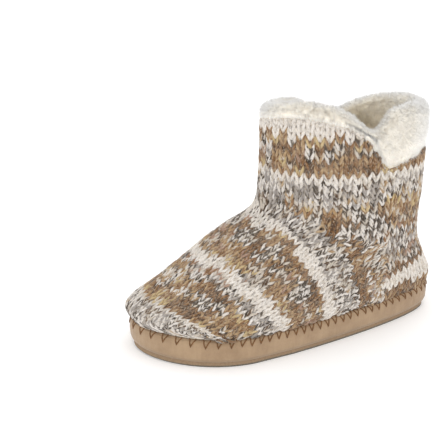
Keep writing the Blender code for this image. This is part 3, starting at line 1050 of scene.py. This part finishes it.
def inner_wall(centre, normal):
    """1 for the faces of the shell's inside that the collar opens to, else 0."""
    core = np.array(SHAFT_AXIS) - centre[:, :2]
    faces_in = (core * normal[:, :2]).sum(axis=1) > 0
    return faces_in * (centre[:, 2] > LINING_LOW) * (centre[:, 1] > 0)


def facing_up(centre, normal):
    """1 for the faces on top, else 0."""
    return (normal[:, 2] > 0.5).astype(float)


def knit_lining(node, inside, outside):
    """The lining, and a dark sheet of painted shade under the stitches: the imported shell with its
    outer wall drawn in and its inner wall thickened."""
    obj = welded_copy(node, "knit_lining", inside)
    obj.data.materials.append(outside)
    points, normals, _ = mesh_arrays(obj.data)
    axis = np.full(len(points), SHAFT_AXIS[0])
    low = points[:, 2] < CORE_TOP
    core = np.stack([axis, np.where(low, np.clip(points[:, 1], *CORE_ENDS), SHAFT_AXIS[1]),
                     np.where(low, CORE_HEIGHT, points[:, 2])], axis=1)
    outer = (normals * (points - core)).sum(axis=1) > 0
    points += normals * np.where(outer, -OUTER_SINK, INNER_RISE)[:, None]
    move_points(obj, points)
    # The drawn-in outer wall takes the second material, the painted shade under the stitches.
    for face in obj.data.polygons:
        face.material_index = int(all(outer[i] for i in face.vertices))
    # Painted shade, even over the lining.
    add_attribute(obj, "depth", np.full(len(points), LINING_PAINTED_SHADE))
    return obj


# The blanket stitch
def blanket_stitch(midsole, material):
    """V stitches in thread round the top of the sole, their ends under the knit's edge."""
    tree = tree_of(midsole)
    random = np.random.default_rng(41)

    def on_side(turn, height):
        return outer_point(tree, Vector((0.0, 0.0, height)), outward(turn))

    turns = np.linspace(0, 2 * math.pi, 1441)
    ring = np.array([on_side(t, STITCH_LEVEL) for t in turns])
    length = running_length(ring)
    places, here = [], 0.0
    while here < length[-1]:
        places.append(here)
        y = np.interp(here, length, ring[:, 1])
        here += np.interp(y, STITCH_PITCH_FROM, (STITCH_PITCH_TOE, STITCH_PITCH))
    places = np.array(places) * length[-1] / here
    line, out = [], []
    share = np.linspace(-1, 1, 2 * STITCH_STEPS + 1)
    least, rest = STITCH_WIDTHS
    for place in places:
        wide = (least + rest * random.random()) / 2
        lean = STITCH_LEAN * (random.random() - 0.5)
        apex = STITCH_LOW + STITCH_LOW_SPREAD * (random.random() - 0.5)
        for t in share:
            across = place + t * wide + lean * (1 - abs(t))
            turn = np.interp(across % length[-1], length, turns)
            lift = sole_edge(np.array(on_side(turn, STITCH_LEVEL))) - SOLE_EDGE
            height = apex + lift + (SOLE_EDGE + STITCH_MARGIN - apex) * abs(t) ** STITCH_CURVE
            hit = on_side(turn, min(height, SOLE_EDGE + lift - STITCH_MARGIN))
            core = np.clip(hit.y, -SOLE_CORE, SOLE_CORE)
            away = Vector((hit.x, hit.y - core, 0)).normalized()
            proud = THREAD_PROUD * THREAD_RADIUS if abs(t) < 1 else -THREAD_RADIUS
            line.append(Vector((hit.x, hit.y, height)) + away * proud)
            out.append(away)
    shape = (len(places), len(share), 3)
    line, out = np.array(line).reshape(shape), np.array(out).reshape(shape)
    tangent = unit(np.gradient(line, axis=1))
    side = unit(np.cross(tangent, out))
    radius = np.full(shape[:2], THREAD_RADIUS)
    return tubes("blanket_stitch", line, np.cross(side, tangent), side, radius, THREAD_SIDES,
                 material)


# Stage, lights and camera
def make_stage():
    """A pale floor that fills the view."""
    n = Nodes("pale_floor")
    mottle = n.noise(3.0, 2.0, 0.5, n.place())
    colour = n.mix(n.spread(mottle, 0.3, 0.7), srgb(246, 246, 246), srgb(250, 250, 250))
    material = n.finish(colour, Roughness=0.9, Specular_IOR_Level=0.1,
                        Emission_Color=(1.0, 1.0, 1.0, 1.0), Emission_Strength=FLOOR_GLOW)
    corners = FLOOR_HALF_SIZE * np.array([(-1, -1, 0), (1, -1, 0), (1, 1, 0), (-1, 1, 0)])
    new_object("floor", corners, [(0, 1, 2, 3)], material)


def add_light(name, place, size, power):
    """A round soft light that faces the slipper."""
    data = bpy.data.lights.new(name, "AREA")
    data.shape = "DISK"
    data.size = size
    data.energy = power
    lamp = link(name, data)
    lamp.location = place
    towards = Vector(LIGHT_TARGET) - Vector(place)
    lamp.rotation_euler = towards.to_track_quat("-Z", "Y").to_euler()


def make_camera():
    data = bpy.data.cameras.new("camera")
    data.lens = CAMERA_LENS
    data.sensor_width = CAMERA_SENSOR
    data.clip_start = 0.05
    camera = link("camera", data)
    back = Vector((math.sin(CAMERA_AZIMUTH) * math.cos(CAMERA_ELEVATION),
                   -math.cos(CAMERA_AZIMUTH) * math.cos(CAMERA_ELEVATION),
                   math.sin(CAMERA_ELEVATION)))
    camera.location = Vector(CAMERA_TARGET) + back * CAMERA_DISTANCE
    camera.rotation_mode = "QUATERNION"
    camera.rotation_quaternion = (-back).to_track_quat("-Z", "Y")
    bpy.context.scene.camera = camera


def make_world():
    world = bpy.data.worlds.new("studio")
    world.use_nodes = True
    sky = world.node_tree.nodes["Background"].inputs
    sky["Color"].default_value = (1.0, 1.0, 1.0, 1.0)
    sky["Strength"].default_value = WORLD_STRENGTH
    bpy.context.scene.world = world
    bpy.context.scene.view_settings.view_transform = "Standard"


# The pieces
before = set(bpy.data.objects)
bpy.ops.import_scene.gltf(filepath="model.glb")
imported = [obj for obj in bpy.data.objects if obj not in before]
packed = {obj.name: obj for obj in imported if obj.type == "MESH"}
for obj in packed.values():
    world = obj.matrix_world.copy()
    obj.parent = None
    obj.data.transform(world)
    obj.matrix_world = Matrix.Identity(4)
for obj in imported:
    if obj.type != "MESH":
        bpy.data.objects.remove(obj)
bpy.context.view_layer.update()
upper_tree = tree_of(packed["upper"])

yarn = yarn_material()
fleece = fleece_material("fleece_pile", srgb(236, 231, 221), srgb(234, 228, 216))
# The lining's fleece also has a painted glow all over.
inner_fleece = fleece_material("fleece_lining", srgb(250, 246, 238), srgb(248, 243, 233),
                               glow=0.3)
# Painted shade: a dark sheet under the stitches stands in for the shade between them.
painted_gap_shade = plain_noise_material("yarn_shadow", srgb(58, 46, 38), srgb(96, 80, 66), 300.0, 900.0,
                               0.0006, 1.0, Specular_IOR_Level=0.05)
thread = plain_noise_material("brown_thread", srgb(96, 64, 36), srgb(134, 96, 58), 900.0, 2500.0,
                              0.0003, 0.8)

knit = knit_shaft(upper_tree, yarn)
knit.append(knit_foot("knit_foot_outer", 1, upper_tree, yarn))
knit.append(knit_foot("knit_foot_inner", -1, upper_tree, yarn))
lining = knit_lining(packed["upper"], inner_fleece, painted_gap_shade)
cuff = fleece_cuff(packed["fleece_collar"], fleece)
cuff_pile = pile("cuff_pile", cuff, CUFF_PILE, fleece)
insole = welded_copy(packed["insole"], "insole_bed", inner_fleece)
# Painted shade, even over the insole.
add_attribute(insole, "depth", np.full(len(insole.data.vertices), INSOLE_PAINTED_SHADE))
stitching = blanket_stitch(packed["midsole"], thread)
edge_pile = pile("cuff_edge_pile", cuff, EDGE_PILE, fleece, keep=near_rim(upper_tree))
lining_pile = pile("lining_pile", lining, LINING_PILE, inner_fleece, keep=inner_wall)
insole_pile = pile("insole_pile", insole, INSOLE_PILE, inner_fleece, keep=facing_up)

for slot, pieces in (
    ("knit", knit),
    ("fleece", (lining, cuff, cuff_pile, edge_pile, lining_pile)),
    ("insole", (insole, insole_pile)),
    ("suede", (stitching,)),
):
    for piece in pieces:
        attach(piece, "root")

for piece in (*knit, lining):
    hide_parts("upper")
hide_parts("fleece_collar")
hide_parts("insole")

for node, material in (("midsole", suede_material()), ("outsole", outsole_material())):
    packed[node].data.materials.clear()
    packed[node].data.materials.append(material)

make_stage()
for light in LIGHTS:
    add_light(*light)
make_camera()
make_world()
